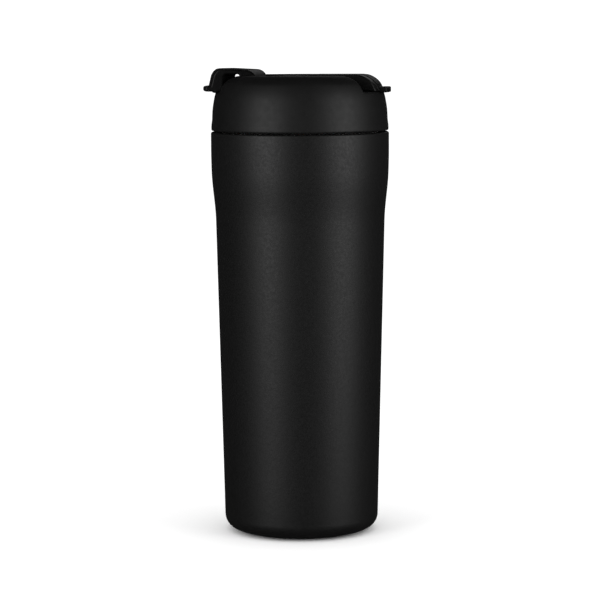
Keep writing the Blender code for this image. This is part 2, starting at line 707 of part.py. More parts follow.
def main():
    for thing in list(bpy.data.objects):
        bpy.data.objects.remove(thing, do_unlink=True)
    home = collection("travel_mug")

    body = pivot("body_frame", (0, 0, 0))
    lid = pivot("lid_pivot", (0, 0, SEAM_Z), body)
    lever = pivot("lever_pivot", (LEVER_AXIS[0], 0, LEVER_AXIS[1]), lid)
    loop = pivot("loop_pivot", (LOOP_AXIS[0], 0, LOOP_AXIS[1]), lid)

    drink_in_foam = DUCT_R + CLEAR
    vent_in_foam = VENT_TUBE_R + CLEAR
    pieces = (
        (make_outer_wall(), body, material("wall_coating", COATING, 0.42)),
        (make_inner_flask(), body, material("flask_steel", BARE_STEEL, 0.32, 1.0)),
        (make_heat_foil(), body, material("copper_foil", COPPER, 0.25, 1.0)),
        (make_base_disc(), body, material("base_steel", BARE_STEEL, 0.45, 1.0)),
        (make_port_seal(), body, material("port_braze", BARE_STEEL, 0.6, 0.8)),
        (make_getter(), body, material("getter_metal", BARE_STEEL, 0.7, 0.9)),
        (make_base_pad(), body, material("pad_rubber", SEAL_BLACK, 0.8)),
        (ring("lid_gasket", GASKET_R, GASKET_Z), lid, material("gasket_silicone", CLEAR_SILICONE, 0.5)),
        (make_lid_shell(), lid, material("shell_plastic", LID_BLACK, 0.40)),
        (make_spout_block(), lid, material("spout_plastic", LID_BLACK, 0.42)),
        (make_hinge_cap(), lid, material("cap_plastic", LID_BLACK, 0.42)),
        (rod("lever_pin", LEVER_AXIS, (-LEVER_PIN_HALF, LEVER_PIN_HALF), PIN_R),
         lid, material("lever_pin_steel", BARE_STEEL, 0.25, 1.0)),
        (make_loop_pin("loop_pin_front", -1), lid, material("front_pin_steel", BARE_STEEL, 0.25, 1.0)),
        (make_loop_pin("loop_pin_back", 1), lid, material("back_pin_steel", BARE_STEEL, 0.25, 1.0)),
        (make_lid_plug(), lid, material("plug_plastic", PLUG_BLACK, 0.45)),
        (make_pierced_disc("plug_cover", COVER_R, COVER_Z, DRINK_R, VENT_R),
         lid, material("cover_plastic", PLUG_BLACK, 0.4)),
        (make_pierced_disc("lid_insulation", COVER_R, FOAM_Z, drink_in_foam, vent_in_foam),
         lid, material("insulation_foam", CREAM_FOAM, 0.9)),
        (make_tube("drink_duct", (DRINK_R, DUCT_R), DRINK_X),
         lid, material("duct_plastic", PLUG_BLACK, 0.4)),
        (make_tube("vent_tube", (VENT_R - 0.2, VENT_TUBE_R), VENT_X),
         lid, material("vent_plastic", PLUG_BLACK, 0.4)),
        (make_flip_lever(), lever, material("lever_plastic", LID_BLACK, 0.38)),
        (make_spout_seal(), lever, material("seal_silicone", SEAL_BLACK, 0.6)),
        (make_vent_pad(), lever, material("vent_silicone", SEAL_BLACK, 0.6)),
        (make_carry_loop(), loop, material("loop_plastic", LID_BLACK, 0.42)),
    )
    for thing, parent, made_of in pieces:
        finish(thing, home, parent, made_of)


main()
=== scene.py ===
"""The looks of the insulated travel mug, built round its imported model.

Every piece is in the frame's own axes: +Z up, the mug's axis on Z, its foot on the floor. Lengths in this
file are millimetres, and helpers turn them into metres. The studio's are metres: the softboxes', and every
name that ends in _M. Round pieces are turned from an outline. Moulded lid pieces are written as signed
distances, negative inside, which are cut, joined and rounded by formula and then meshed.
"""

import math

import bmesh
import bpy
import numpy as np
from mathutils import Matrix, Vector


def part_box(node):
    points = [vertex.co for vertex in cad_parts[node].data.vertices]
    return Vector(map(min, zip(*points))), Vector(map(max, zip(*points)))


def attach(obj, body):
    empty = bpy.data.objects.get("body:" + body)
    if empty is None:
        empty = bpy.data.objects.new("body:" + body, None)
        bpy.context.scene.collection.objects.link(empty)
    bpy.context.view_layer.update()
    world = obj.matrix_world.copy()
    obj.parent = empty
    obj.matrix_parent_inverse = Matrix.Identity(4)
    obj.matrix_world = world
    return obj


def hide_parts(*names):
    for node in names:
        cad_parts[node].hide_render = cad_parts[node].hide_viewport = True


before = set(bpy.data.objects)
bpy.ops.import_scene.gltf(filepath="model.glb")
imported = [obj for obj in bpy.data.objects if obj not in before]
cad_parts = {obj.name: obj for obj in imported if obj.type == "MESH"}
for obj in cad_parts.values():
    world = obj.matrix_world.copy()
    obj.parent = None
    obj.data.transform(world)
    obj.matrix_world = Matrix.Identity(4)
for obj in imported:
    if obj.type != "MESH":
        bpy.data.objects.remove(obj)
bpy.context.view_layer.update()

MM = 0.001
GRID = 0.55  # spacing of the moulded pieces' mesh
FINE_GRID = 0.42
COVER_GRID = 0.6
GRID_MARGIN = (2.13, 3)  # grid cells below and above a piece's box
SETTLE_ROUNDS = 5
EVENING_ROUNDS = 3
TURN_STEPS = 256
SMALL_STEPS = 96
EDGE = 0.45  # rounding of moulded outer edges
FAR = 60.0  # farther from the axis than any part of the mug

# Outer wall.
WALL = 0.9
BODY_R = 39.0
RIM_Z = 176.3
RIM_CORNER = 0.75  # tighter than the CAD's, for the photo's thin seam
BAND_LOW_Z = 168.0
SWELL = (38.82, 159.0)
WAIST = (37.05, 137.5)
FOOT_R = 33.92
FOOT_CORNER = 6.2
STEEL_Z = 0.8
WALL_MOUTH_R = 35.6
WALL_FOOT_HOLE_R = 26.6
WALL_BEVEL = 0.3

# Inner flask, and what closes the wall's foot.
FLASK_WALL = 0.8
NECK_R = 34.2
NECK_WALL = 1.1
NECK_LOW_Z = 158.0
NECK_ROUNDING = 9.0
NECK_SMOOTH_Z = 163.0  # no thread below this
NECK_ROWS_Z = 163.2
FLASK_TOP = (32.3, 140.0)
FLASK_SIDE = (29.9, 60.0)
FLASK_LOW_R = 29.3
FLASK_FLAT_R = 8.0
FLASK_FLOOR_Z = 9.4
FLASK_CORNER = 6.0
BASE_R = 29.0
BASE_Z = (2.1, 3.0)
PORT_R = 4.4
PORT_RISE = 1.4
PAD_R = 26.2
PAD_T = 1.7
PAD_GROOVE = (17.5, 19.5, 0.5)  # inner radius, outer radius, depth
PAD_RINGS = 6
PAD_RING_R = 14.5  # the outermost ring's middle
PAD_RING_STEP = 2.2
PAD_RING_HALF = 0.5
PAD_RING_DEPTH = 0.28

# Thread: two starts, half a turn apart.
LEAD = 10.0
STARTS = 2
THREAD_TURN = 0.8
THREAD_FADE = 0.07
BEAD = 0.95
BEAD_HEIGHT = 1.05 * BEAD
BEAD_REACH = BEAD * 1.15  # half its width along the mug's axis
BEAD_FULLNESS = 0.75  # below 1, its crest is fuller than a parabola's
ON_WALL = 0.01  # how near its wall's radius a point is to count as on the wall
NECK_BEAD_Z = 165.5
PLUG_BEAD_Z = 163.0
THREAD_ROW = 0.3

# Lid.
SEAM_Z = 176.9
SKIRT_R = 38.8
SKIRT_CORNER = 0.55  # tighter than the CAD's, for the photo's thin seam
DOME_TOP_Z = 200.95
DOME_FLAT_R = 29.0
SHELL_T = 2.2
SKIRT_BORE_R = 36.5
SKIRT_BORE_Z = 180.0
CHANNEL_HALF = 20.1
CHANNEL_Z = 194.0
LOOP_SPACE_HALF = 16.3  # the channel is narrower where the loop lies
LOOP_SPACE_X = -12.0
LIP_R = (35.4, 37.6)  # the channel's floor rounds down by LIP_DROP between these
LIP_DROP = 1.2
ABOVE_FLOOR = 0.3  # gap between the channel's floor and what lies over it
PLUG_R = 32.75
PLUG_BORE_R = 30.75
PLUG_LOW_Z = 160.0
FLANGE_R = 36.1
FLANGE_Z = (177.6, 179.6)
GASKET_R = (33.1, 36.0)
GASKET_Z = (176.6, 177.3)
COVER_R = 30.4
COVER_Z = (160.2, 162.0)
TUBE_Z = (162.3, 194.0)
DRINK_X = 22.0
DRINK_R = 4.4
DUCT_R = 5.4
VENT_X = 9.0
VENT_R = 1.5
VENT_TUBE_R = 2.3
CLEAR = 0.4

# Spout block and flip lever.
PROUD = 0.35
BLOCK_X = -8.0
BLOCK_HALF = 12.5
SLOT_HALF = 9.0
SLOT_FLOOR_Z = 196.3
SLOT_END_X = 32.2
HINGE_DECK_X = 6.8
HINGE_DECK_Z = 200.8
LEVER_HALF = 8.6
LEVER_START_X = 5.0
LEVER_T = 2.0
LEVER_AXIS = (4.0, 198.8)
LEVER_BARREL_R = 2.2
PIN_R = 1.0
LEVER_PIN_HALF = 12.2
TAB_R = 39.9
TAB_HALF = 8.2
TAB_Z = (193.5, 195.9)
TAB_START_X = 35.9
SEAL_TOP_Z = 199.0
SEAL_HEAD_R = 5.2
SEAL_HEAD_Z = 196.7
SEAL_NOSE_R = 3.9
SEAL_NOSE_Z = 195.2
BOSS_R = 2.0
BOSS_LOW_Z = 198.0
VENT_PAD_R = 2.4
CAP_X = (-7.7, 0.3)
CAP_Z = (196.6, 200.7)

# Carry loop.
LOOP_HALF = 15.6
LOOP_AXIS = (-20.5, 198.7)
LOOP_BAR_R = 3.8
LOOP_FACE_X = -16.7
LOOP_TOP_Z = 204.1
LOOP_TOP_X = -36.6  # the top falls from here towards the hinge
LOOP_FALL = 0.046
LOOP_CORNER = 4.6
LOOP_ARM_LOW_Z = 201.6
LOOP_INNER_R = 34.6
LOOP_BAR_BACK_X = -24.3
LOOP_LIP_R = 42.2
LOOP_LIP_Z = (194.1, 196.4)
LOOP_TOP_R = 35.2  # the shoulder starts here
LOOP_SHOULDER_LEADS = ((36.8, LOOP_TOP_Z), (38.1, 202.6))
LOOP_SHOULDER = (38.75, 201.0)
LOOP_FLARE_R = (39.6, 39.9)  # the end wall's outside above the lip, and where it meets the lip
LOOP_UNDER_R = (38.1, 38.4)  # the step under the lip
LOOP_UNDER_STEP = 0.6
WINDOW_X = -25.0
WINDOW_R = 33.9
WINDOW_HALF = 11.2
WINDOW_CORNER = 2.5
LOOP_PIN_Y = (11.6, 20.8)


# Outlines: lists of (radius, height) or (x, height) points.


def arc(centre, radius, start, end, count):
    """Points on an arc, from start to end in degrees."""
    angles = [math.radians(start + (end - start) * i / count) for i in range(count + 1)]
    return [(centre[0] + radius * math.cos(a), centre[1] + radius * math.sin(a)) for a in angles]


def bezier(start, lead_out, lead_in, end, count):
    """Points on a cubic curve, leaving out its first one."""
    points = []
    for i in range(1, count + 1):
        t = i / count
        weights = ((1 - t) ** 3, 3 * t * (1 - t) ** 2, 3 * t * t * (1 - t), t**3)
        curve = (start, lead_out, lead_in, end)
        points.append(tuple(sum(w * p[k] for w, p in zip(weights, curve)) for k in (0, 1)))
    return points


def slanted(start, start_slope, end, end_slope, count):
    """A cubic between two points, given how fast the radius changes with height at each."""
    third = (end[1] - start[1]) / 3
    lead_out = (start[0] + third * start_slope, start[1] + third)
    lead_in = (end[0] - third * end_slope, end[1] - third)
    return bezier(start, lead_out, lead_in, end, count)


def rounded(corners, count=5):
    """An outline through (r, z, rounding) corners, each with its own rounding radius."""
    points = []
    for i, (r, z, rounding) in enumerate(corners):
        if rounding == 0 or i in (0, len(corners) - 1) and corners[0][0] == 0:
            points.append((r, z))
            continue
        here = Vector((r, z))
        before = (Vector(corners[i - 1][:2]) - here).normalized()
        after = (Vector(corners[(i + 1) % len(corners)][:2]) - here).normalized()
        half = max(before.angle(after) / 2, 0.01)
        reach = rounding / math.tan(half)
        bend = 1 - 4 / 3 * math.tan((math.pi / 2 - half) / 2) * math.tan(half)
        start, end = here + before * reach, here + after * reach
        points.append(tuple(start))
        points += bezier(start, here + before * reach * bend, here + after * reach * bend, end, count)
    return points


def rows_between(low, high, spacing):
    """Heights from low to high, at about that spacing."""
    count = max(1, round(abs(high - low) / spacing))
    return [low + (high - low) * i / count for i in range(count + 1)]


def wall_outline(inset):
    """The outer wall from its rim down to its foot, moved inwards by inset."""
    taper = (WAIST[0] - FOOT_R) / (WAIST[1] - STEEL_Z - FOOT_CORNER)
    rim = (BODY_R - RIM_CORNER, RIM_Z - RIM_CORNER)
    foot = (FOOT_R - FOOT_CORNER, STEEL_Z + FOOT_CORNER)
    band = (BODY_R - inset, BAND_LOW_Z)
    swell = (SWELL[0] - inset, SWELL[1])
    waist = (WAIST[0] - inset, WAIST[1])
    points = arc(rim, RIM_CORNER - inset, 90, 0, 10)
    points += [band]
    points += slanted(band, 0.0, swell, 0.03, 8)
    points += slanted(swell, 0.03, waist, taper, 16)
    low_r = FOOT_R - inset
    for i in range(1, 12):
        t = 1 - i / 12
        height = STEEL_Z + FOOT_CORNER + (waist[1] - STEEL_Z - FOOT_CORNER) * t
        points.append((low_r + (waist[0] - low_r) * t, height))
    points += arc(foot, FOOT_CORNER - inset, 0, -90, 12)
    return points


def dome_outline():
    """The lid's outside from the top centre down to the bottom corner of its skirt."""
    brow = (35.3, 197.0)
    cheek = (37.6, 190.2)
    flank = (38.28, 185.4)
    flare = (38.42, 182.0)
    skirt = (SKIRT_R, SEAM_Z + 1.7)
    corner_r = brow[0] - 0.52 * (DOME_TOP_Z - brow[1])
    lead_out = ((DOME_FLAT_R + corner_r) / 2, DOME_TOP_Z)
    lead_in = ((brow[0] + corner_r) / 2, (brow[1] + DOME_TOP_Z) / 2)
    points = [(0.0, DOME_TOP_Z), (DOME_FLAT_R, DOME_TOP_Z)]
    points += bezier(points[-1], lead_out, lead_in, brow, 12)
    points += slanted(brow, -0.52, cheek, -0.17, 10)
    points += slanted(cheek, -0.17, flank, -0.06, 4)
    points += slanted(flank, -0.06, flare, -0.03, 2)
    points += slanted(flare, -0.03, skirt, 0.0, 3)
    return points


def dome_solid_outline():
    foot = (SKIRT_R - SKIRT_CORNER, SEAM_Z + SKIRT_CORNER)
    return dome_outline() + arc(foot, SKIRT_CORNER, 0, -90, 6) + [(0.0, SEAM_Z)]


# Turned pieces.


def new_object(name, vertices, faces):
    mesh = bpy.data.meshes.new(name)
    mesh.from_pydata((np.asarray(vertices) * MM).tolist(), [], [tuple(f) for f in faces])
    work = bmesh.new()
    work.from_mesh(mesh)
    bmesh.ops.recalc_face_normals(work, faces=work.faces)
    work.to_mesh(mesh)
    work.free()
    mesh.shade_smooth()
    thing = bpy.data.objects.new(name, mesh)
    bpy.context.scene.collection.objects.link(thing)
    return thing


def turned(name, outline, steps=TURN_STEPS, relief=None, x=0.0, sharp=40):
    """A solid of revolution round Z, or round an upright axis at x.

    Both ends of the outline are on the axis, or else it closes on itself as a ring. relief(radius, z, angle)
    is added to the radius. Edges that turn by more than sharp, in degrees, are shaded as sharp.
    """
    points = np.array(outline)
    angles = np.arange(steps) * math.tau / steps
    full = points[0, 0] < 1e-9
    rings = points[1:-1] if full else points
    radius = np.repeat(rings[:, :1], steps, axis=1)
    height = np.repeat(rings[:, 1:], steps, axis=1)
    around = np.repeat(angles[None, :], len(rings), axis=0)
    if relief:
        radius = radius + relief(radius, height, around)
    grid = np.stack([x + radius * np.cos(around), radius * np.sin(around), height], axis=-1)
    vertices = grid.reshape(-1, 3)
    index = np.arange(len(rings) * steps).reshape(len(rings), steps)
    upper, lower = (index[:-1], index[1:]) if full else (index, np.roll(index, -1, axis=0))
    quads = np.stack([upper, np.roll(upper, -1, 1), np.roll(lower, -1, 1), lower], axis=-1)
    faces = quads.reshape(-1, 4).tolist()
    if full:
        ends = np.array([[x, 0.0, points[0, 1]], [x, 0.0, points[-1, 1]]])
        top, bottom = len(vertices), len(vertices) + 1
        vertices = np.vstack([vertices, ends])
        for j in range(steps):
            k = (j + 1) % steps
            faces.append((top, index[0, j], index[0, k]))
            faces.append((bottom, index[-1, k], index[-1, j]))
    thing = new_object(name, vertices, faces)
    thing.data.set_sharp_from_angle(angle=math.radians(sharp))
    return thing


def thread_relief(low, inward, is_threaded):
    """A two-start right-handed bead on the surface that is_threaded picks, thinned at its ends."""

    def relief(radius, z, angle):
        risen = np.zeros_like(radius)
        for start in range(STARTS):
            turn = ((angle - math.tau * start / STARTS) % math.tau) / math.tau
            away = z - (low + LEAD * turn)
            fade = np.clip(np.minimum(turn, THREAD_TURN - turn) / THREAD_FADE, 0, 1)
            fade = fade * fade * (3 - 2 * fade)
            bell = np.clip(1 - (away / BEAD_REACH) ** 2, 0, 1)
            risen = np.maximum(risen, fade * bell**BEAD_FULLNESS)
        height = -BEAD_HEIGHT if inward else BEAD_HEIGHT
        return np.where(is_threaded(radius, z), height * risen, 0.0)

    return relief


def bar(name, axis, y, radius, chamfer=0.2):
    """A round pin along Y, with rounded ends, centred on an (x, height) axis."""
    low, high = y
    outline = rounded([(0, high, 0), (radius, high, chamfer), (radius, low, chamfer), (0, low, 0)], 3)
    thing = turned(name, outline, 48, sharp=60)
    place = Matrix.Translation(Vector((axis[0], 0.0, axis[1])) * MM)
    thing.data.transform(place @ Matrix.Rotation(-math.pi / 2, 4, "X"))
    return thing


# Moulded pieces: signed distances, negative inside.


def both(a, b, rounding=EDGE):
    """What is inside a and b, with the edge between them rounded."""
    edge = np.hypot(np.maximum(a + rounding, 0), np.maximum(b + rounding, 0))
    return np.minimum(np.maximum(a, b), -rounding) + edge


def either(a, b, rounding=EDGE):
    """What is inside a or b, with the corner between them filled round."""
    corner = np.hypot(np.maximum(rounding - a, 0), np.maximum(rounding - b, 0))
    return np.maximum(np.minimum(a, b), rounding) - corner


def without(a, b, rounding=EDGE):
    return both(a, -b, rounding)


def between(value, low, high):
    return np.maximum(low - value, value - high)


def outline_distance(outline, u, v):
    """Signed distance to an outline in the (u, v) plane: closed, or with both ends on u = 0."""
    ends = outline[1:] if abs(outline[0][0]) < 1e-9 else outline[1:] + outline[:1]
    nearest = np.full(u.shape, 1e9)
    inside = np.zeros(u.shape, bool)
    for (u0, v0), (u1, v1) in zip(outline, ends):
        du, dv = u1 - u0, v1 - v0
        away_u, away_v = u - u0, v - v0
        along = np.clip((away_u * du + away_v * dv) / (du * du + dv * dv), 0, 1)
        nearest = np.minimum(nearest, (away_u - along * du) ** 2 + (away_v - along * dv) ** 2)
        if dv != 0:
            inside ^= ((v0 > v) != (v1 > v)) & (away_u < away_v * (du / dv))
    distance = np.sqrt(nearest)
    return np.where(inside, -distance, distance)


def dome(x, y, z):
    return outline_distance(dome_solid_outline(), np.hypot(x, y), z)


def upright_hole(x, y, centre_x, radius):
    return np.hypot(x - centre_x, y) - radius


def rod(x, z, axis, radius):
    return np.hypot(x - axis[0], z - axis[1]) - radius


def above_channel_floor(x, y, z):
    """Negative above the channel's floor, which rounds down to a lip at the dome's edge."""
    part = np.clip((np.hypot(x, y) - LIP_R[0]) / (LIP_R[1] - LIP_R[0]), 0, 0.995)
    floor = CHANNEL_Z - LIP_DROP * (1 - np.sqrt(1 - part * part))
    steep = LIP_DROP * part / np.sqrt(1 - part * part) / (LIP_R[1] - LIP_R[0])
    steep = np.where(part < 0.99, steep, 0.0)
    return (floor - z) / np.sqrt(1 + steep * steep)


def channel(x, y, z):
    """The channel across the dome, which is narrower beside the loop."""
    beside_loop = both(x - LOOP_SPACE_X, LOOP_SPACE_HALF - np.abs(y), 0.6)
    across = without(np.abs(y) - CHANNEL_HALF, beside_loop, 0.8)
    return both(across, above_channel_floor(x, y, z), 0.8)


def lid_shell(x, y, z):
    shell = without(dome(x, y, z), channel(x, y, z), 0.35)
    radius = np.hypot(x, y)
    lining = dome(x, y, z) + SHELL_T
    bore = both(radius - SKIRT_BORE_R, z - SKIRT_BORE_Z - 0.6, 0.3)
    cavity = np.minimum(np.maximum(lining, SKIRT_BORE_Z - 0.7 - z), bore)
    roof = np.maximum(np.abs(y) - CHANNEL_HALF - SHELL_T, CHANNEL_Z - SHELL_T - z)
    shell = without(shell, without(cavity, roof, 0.6), 0.3)
    shell = without(shell, upright_hole(x, y, DRINK_X, DUCT_R + CLEAR), 0.2)
    shell = without(shell, upright_hole(x, y, VENT_X, VENT_TUBE_R + CLEAR), 0.2)
    wall = between(np.abs(y), LOOP_SPACE_HALF - 1, LOOP_PIN_Y[1] + CLEAR)
    return without(shell, both(rod(x, z, LOOP_AXIS, PIN_R + CLEAR), wall, 0.2), 0.2)


def spout_block(x, y, z):
    wide = np.abs(y)
    block = both(dome(x, y, z) - PROUD, wide - BLOCK_HALF)
    block = both(block, BLOCK_X - x)
    block = both(block, above_channel_floor(x, y, z - ABOVE_FLOOR), 0.2)
    slot = both(wide - SLOT_HALF, SLOT_FLOOR_Z - z, 0.5)
    slot = np.minimum(slot, np.maximum(wide - SLOT_HALF, SLOT_END_X - x))
    block = without(block, slot)
    block = without(block, both(x - HINGE_DECK_X, HINGE_DECK_Z - z, 0.2), 0.3)
    block = without(block, upright_hole(x, y, DRINK_X, DRINK_R), 0.4)
    block = without(block, upright_hole(x, y, VENT_X, VENT_R), 0.3)
    return without(block, rod(x, z, LEVER_AXIS, PIN_R + CLEAR), 0.2)


def hinge_cap(x, y, z):
    """A crowned block with soft edges."""
    crown = z - CAP_Z[1] + 0.25 * (y / LEVER_HALF) ** 2
    cap = both(both(between(x, *CAP_X), np.abs(y) - LEVER_HALF, 0.9), crown, 0.9)
    return both(cap, CAP_Z[0] - z, 0.3)


def flip_lever(x, y, z):
    wide = np.abs(y)
    skin = dome(x, y, z) - PROUD
    plate = both(skin, -(skin + LEVER_T), 0.3)
    plate = both(plate, wide - LEVER_HALF)
    plate = both(plate, LEVER_START_X - x, 0.3)
    radius = np.hypot(x, y)
    tab = both(both(radius - TAB_R, wide - TAB_HALF, 0.6), TAB_START_X - x, 0.2)
    tab = both(tab, between(z, *TAB_Z), 0.5)
    lever = both(either(plate, tab, 0.4), above_channel_floor(x, y, z - ABOVE_FLOOR), 0.3)
    barrel = both(rod(x, z, LEVER_AXIS, LEVER_BARREL_R), wide - LEVER_HALF + 0.2, 0.3)
    lever = either(lever, barrel, 0.5)
    boss = np.maximum(upright_hole(x, y, DRINK_X, BOSS_R), between(z, BOSS_LOW_Z, DOME_TOP_Z - 1))
    lever = either(lever, boss, 0.4)
    return without(lever, rod(x, z, LEVER_AXIS, PIN_R + CLEAR), 0.2)


def loop_outside():
    """The turned outside of the loop: its top, the rounded shoulder, the end wall and the lip."""
    low, high = LOOP_LIP_Z
    above, meets = LOOP_FLARE_R
    under_in, under_out = LOOP_UNDER_R
    step = low - LOOP_UNDER_STEP
    points = [(0.0, LOOP_TOP_Z), (LOOP_TOP_R, LOOP_TOP_Z)]
    points += bezier(points[-1], *LOOP_SHOULDER_LEADS, LOOP_SHOULDER, 10)
    lip = [(above, high + 0.5, 0), (meets, high, 0.3), (LOOP_LIP_R, high, 0.8), (LOOP_LIP_R, low, 0.9)]
    lip += [(under_out, low, 0.2), (under_in, step, 0.2), (0.0, step, 0)]
    return points + rounded(lip)[1:]


def loop_side():
    """The loop seen from the side: a round hinge bar under a rounded top, open towards -X."""
    bar_low = arc(LOOP_AXIS, LOOP_BAR_R, 180, 360, 24)
    corner_x = LOOP_FACE_X - LOOP_CORNER
    corner = (corner_x, LOOP_TOP_Z - LOOP_FALL * (corner_x - LOOP_TOP_X) - LOOP_CORNER)
    end = arc(corner, LOOP_CORNER, 0, 90, 12)
    beyond = [(LOOP_TOP_X - 0.5, LOOP_TOP_Z + 0.05), (-FAR, LOOP_TOP_Z + 2), (-FAR, 190)]
    below = [(LOOP_BAR_BACK_X - 0.6, 190), (LOOP_BAR_BACK_X - 0.6, LOOP_AXIS[1] + 0.2)]
    return bar_low + end + beyond + below


def carry_loop(x, y, z):
    wide = np.abs(y)
    radius = np.hypot(x, y)
    loop = outline_distance(loop_outside(), radius, z)
    loop = both(loop, outline_distance(loop_side(), x, z), 0.3)
    loop = both(loop, above_channel_floor(x, y, z - ABOVE_FLOOR), 0.2)
    loop = both(loop, wide - LOOP_HALF, 0.3)
    inside = both(radius - LOOP_INNER_R, z - LOOP_ARM_LOW_Z, 1.5)
    loop = without(loop, both(inside, x - LOOP_BAR_BACK_X, 0.7), 0.5)
    window = both(both(x - WINDOW_X, wide - WINDOW_HALF, WINDOW_CORNER), radius - WINDOW_R, 1.5)
    loop = without(loop, np.maximum(window, 198 - z), 0.6)
    pins = both(rod(x, z, LOOP_AXIS, PIN_R + CLEAR), LOOP_PIN_Y[0] - 0.5 - wide, 0.2)
    return without(loop, pins, 0.2)


def plug_cover(x, y, z):
    cover = both(np.hypot(x, y) - COVER_R, between(z, *COVER_Z), 0.4)
    cover = without(cover, upright_hole(x, y, DRINK_X, DRINK_R), 0.4)
    return without(cover, upright_hole(x, y, VENT_X, VENT_R), 0.3)


# Meshing.


def crossings(values):
    """For each cell of the grid, the sum of the places where the surface cuts its edges, and their count."""
    cells = tuple(n - 1 for n in values.shape)
    total = np.zeros((*cells, 3))
    count = np.zeros(cells, int)
    inside = values < 0
    for axis in range(3):
        u, v = (axis + 1) % 3, (axis + 2) % 3
        first = [slice(None)] * 3
        second = [slice(None)] * 3
        first[axis], second[axis] = slice(0, -1), slice(1, None)
        a, b = values[tuple(first)], values[tuple(second)]
        cut = inside[tuple(first)] != inside[tuple(second)]
        share = np.where(cut, a / np.where(cut, a - b, 1.0), 0.0)
        for du in (0, 1):
            for dv in (0, 1):
                part = [slice(None)] * 3
                part[u], part[v] = slice(du, cells[u] + du), slice(dv, cells[v] + dv)
                here = cut[tuple(part)]
                total[..., axis] += share[tuple(part)]
                total[..., u] += du * here
                total[..., v] += dv * here
                count += here
    return total, count


def quads_of(values, index):
    """One quad round each grid edge that the surface cuts, facing from inside to outside."""
    inside = values < 0
    faces = []
    for axis in range(3):
        first = [slice(1, -1)] * 3
        second = [slice(1, -1)] * 3
        first[axis], second[axis] = slice(0, -1), slice(1, None)
        start_inside = inside[tuple(first)]
        at = np.argwhere(start_inside != inside[tuple(second)])
        leaving = start_inside[tuple(at.T)]
        one = np.eye(3, dtype=int)
        u, v = one[(axis + 1) % 3], one[(axis + 2) % 3]
        edge = at + u + v
        ring = np.stack([index[tuple((edge - back).T)] for back in (u + v, v, 0 * u, u)], axis=1)
        faces.append(np.where(leaving[:, None], ring, ring[:, ::-1]))
    return np.vstack(faces)


def slope(field, points, reach=0.03):
    """The field's value at each point, and its gradient."""
    value = field(*points.T)
    gradient = np.empty_like(points)
    for axis in range(3):
        step = np.zeros(3)
        step[axis] = reach
        gradient[:, axis] = (field(*(points + step).T) - field(*(points - step).T)) / (2 * reach)
    return value, gradient


def settle(field, points, faces, spacing):
    """Evens out the mesh along the surface, and moves each point onto it."""
    edges = np.vstack([faces[:, [i, (i + 1) % 4]] for i in range(4)])
    neighbours = np.bincount(edges[:, 0], minlength=len(points)).astype(float)
    for round_number in range(SETTLE_ROUNDS):
        value, gradient = slope(field, points)
        length = np.maximum(np.linalg.norm(gradient, axis=1), 0.5)
        normal = gradient / length[:, None]
        move = np.clip(value / length, -0.5 * spacing, 0.5 * spacing)
        points = points - move[:, None] * normal
        if round_number < EVENING_ROUNDS:
            mean = np.stack(
                [np.bincount(edges[:, 0], points[edges[:, 1], k], len(points)) for k in range(3)], axis=1
            ) / neighbours[:, None]
            drift = mean - points
            drift -= np.sum(drift * normal, axis=1)[:, None] * normal
            points = points + 0.5 * drift
    return points


def moulded(name, field, node, spacing=GRID):
    """The surface where the field is zero, meshed over the box of the CAD node that it replaces."""
    low, high = (np.array(corner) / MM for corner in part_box(node))
    under, over = (cells * spacing for cells in GRID_MARGIN)
    axes = [np.arange(a - under, b + over, spacing) for a, b in zip(low, high)]
    values = field(*np.meshgrid(*axes, indexing="ij"))
    total, count = crossings(values)
    cells = np.argwhere(count > 0)
    index = np.full(count.shape, -1)
    index[tuple(cells.T)] = np.arange(len(cells))
    origin = np.array([axis[0] for axis in axes])
    mean = total[tuple(cells.T)] / count[tuple(cells.T)][:, None]
    points = origin + (cells + mean) * spacing
    faces = quads_of(values, index)
    points = settle(field, points, faces, spacing)
    return new_object(name, points, faces.tolist())


# Materials.


def new_material(name, colour, roughness, metallic=0.0, **sockets):
    material = bpy.data.materials.new(name)
    material.use_nodes = True
    shader = material.node_tree.nodes["Principled BSDF"]
    shader.inputs["Base Color"].default_value = (*colour, 1.0)
    shader.inputs["Roughness"].default_value = roughness
    shader.inputs["Metallic"].default_value = metallic
    for socket, value in sockets.items():
        shader.inputs[socket.replace("_", " ")].default_value = value
    return material


def noise(material, size, detail=2.0, stretch=(1.0, 1.0, 1.0)):
    """Noise with features of about that size in millimetres, in the piece's own coordinates."""
    nodes, links = material.node_tree.nodes, material.node_tree.links
    place = nodes.new("ShaderNodeTexCoord")
    mapping = nodes.new("ShaderNodeMapping")
    mapping.inputs["Scale"].default_value = stretch
    texture = nodes.new("ShaderNodeTexNoise")
    texture.inputs["Scale"].default_value = 1 / (size * MM)
    texture.inputs["Detail"].default_value = detail
    links.new(place.outputs["Object"], mapping.inputs["Vector"])
    links.new(mapping.outputs["Vector"], texture.inputs["Vector"])
    return texture.outputs["Fac"]


def vary_roughness(material, source, low, high):
    nodes, links = material.node_tree.nodes, material.node_tree.links
    spread = nodes.new("ShaderNodeMapRange")
    spread.inputs["From Min"].default_value = 0.35
    spread.inputs["From Max"].default_value = 0.65
    spread.inputs["To Min"].default_value = low
    spread.inputs["To Max"].default_value = high
    links.new(source, spread.inputs["Value"])
    links.new(spread.outputs["Result"], nodes["Principled BSDF"].inputs["Roughness"])


def vary_colour(material, source, dark, light):
    nodes, links = material.node_tree.nodes, material.node_tree.links
    ramp = nodes.new("ShaderNodeValToRGB")
    ramp.color_ramp.elements[0].position = 0.35
    ramp.color_ramp.elements[0].color = (*dark, 1.0)
    ramp.color_ramp.elements[1].position = 0.65
    ramp.color_ramp.elements[1].color = (*light, 1.0)
    links.new(source, ramp.inputs["Fac"])
    links.new(ramp.outputs["Color"], nodes["Principled BSDF"].inputs["Base Color"])


